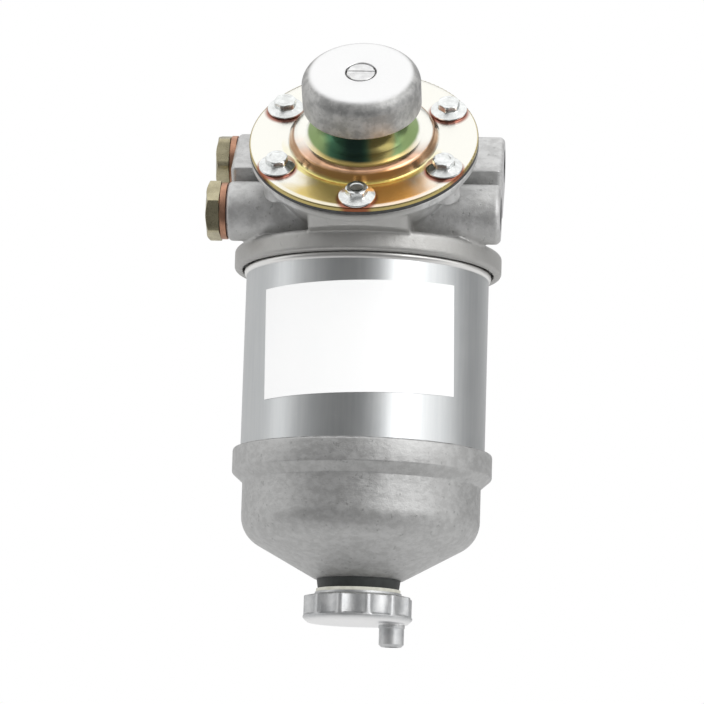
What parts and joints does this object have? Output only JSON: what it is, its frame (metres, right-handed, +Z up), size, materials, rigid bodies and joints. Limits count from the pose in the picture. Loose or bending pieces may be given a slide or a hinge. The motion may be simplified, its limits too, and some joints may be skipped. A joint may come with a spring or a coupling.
{
  "type": "fuel filter with hand pump",
  "caption": "Diesel fuel filter with a cast head, diaphragm hand pump on its slanted face, bare metal canister, sediment bowl and fluted drain cap.",
  "frame": {"origin": "centre of the two bracket bolt holes on the head's rear face", "axes": "+Z up along the filter's axis, -Y towards the pump at the front, +X towards the open ports"},
  "size_m": [0.103, 0.1244, 0.2062],
  "materials": {
    "cast_head": "matte",
    "cast_bowl": "matte",
    "cast_knob": "matte",
    "turned_cap": "satin",
    "zinc_plugs": "satin",
    "copper": "satin",
    "bare_can": "satin",
    "inner_steel": "satin",
    "filter_paper": "matte",
    "label_paper": "matte",
    "yellow_zinc": "gloss",
    "bright_screws": "gloss",
    "knob_screw": "satin",
    "black_rubber": "matte",
    "diaphragm_rubber": "matte",
    "fibre_washer": "matte",
    "brass": "satin",
    "spring_steel": "satin",
    "valve_disc": "matte"
  },
  "bodies": {
    "filter": {"filter_head": "cast_head", "port_plugs": "zinc_plugs", "port_plug_washers": "copper", "element_can": "bare_can", "element_centre_tube": "inner_steel", "element_paper": "filter_paper", "element_end_plates": "inner_steel", "head_seal_ring": "black_rubber", "bowl_seal_ring": "black_rubber", "outlet_seal_ring": "black_rubber", "label_sheet": "label_paper", "sediment_bowl": "cast_bowl", "bowl_foot_seal": "black_rubber", "centre_stud": "inner_steel", "pump_cover": "yellow_zinc", "spindle_guide": "brass", "cover_screws": "bright_screws", "pump_diaphragm": "diaphragm_rubber", "inlet_valve_cup": "brass", "outlet_valve_cup": "brass", "knob_spring": "spring_steel", "inlet_valve_spring": "spring_steel", "outlet_valve_spring": "spring_steel"},
    "pump_knob": {"pump_knob": "cast_knob", "knob_screw": "knob_screw", "pump_spindle": "inner_steel", "upper_diaphragm_plate": "inner_steel", "lower_diaphragm_plate": "inner_steel", "spindle_nut": "inner_steel"},
    "inlet_disc": {"inlet_valve_disc": "valve_disc"},
    "outlet_disc": {"outlet_valve_disc": "valve_disc"},
    "drain_washer": {"drain_washer": "fibre_washer"},
    "drain_cap": {"drain_cap": "turned_cap", "drain_seat": "black_rubber"}
  },
  "joints": [
    {"name": "pump_press", "type": "slide", "parent": "filter", "child": "pump_knob", "axis": [0, 0.7615, -0.6481], "range_m": [0, 0.007], "stiffness_N_per_m": 1200, "springref_m": -0.005, "deforming": ["pump_diaphragm", "knob_spring"]},
    {"name": "inlet_valve_lift", "type": "slide", "parent": "filter", "child": "inlet_disc", "axis": [0, -0.7615, 0.6481], "range_m": [0, 0.001], "stiffness_N_per_m": 60, "springref_m": -0.002, "deforming": ["inlet_valve_spring"]},
    {"name": "outlet_valve_lift", "type": "slide", "parent": "filter", "child": "outlet_disc", "axis": [0, 0.7615, -0.6481], "range_m": [0, 0.001], "stiffness_N_per_m": 60, "springref_m": -0.002, "deforming": ["outlet_valve_spring"]},
    {"name": "drain_washer_drop", "type": "slide", "parent": "filter", "child": "drain_washer", "axis": [0, 0, -1], "range_m": [0, 0.0015]},
    {"name": "drain_cap_turn", "type": "hinge", "parent": "drain_washer", "child": "drain_cap", "pos_m": [0, -0.055, -0.16], "axis": [0, 0, -1], "range_deg": [0, 360]}
  ],
  "couplings": [
    {"joint": "drain_washer_drop", "follows": "drain_cap_turn", "m_per_rad": 0.0002387}
  ]
}
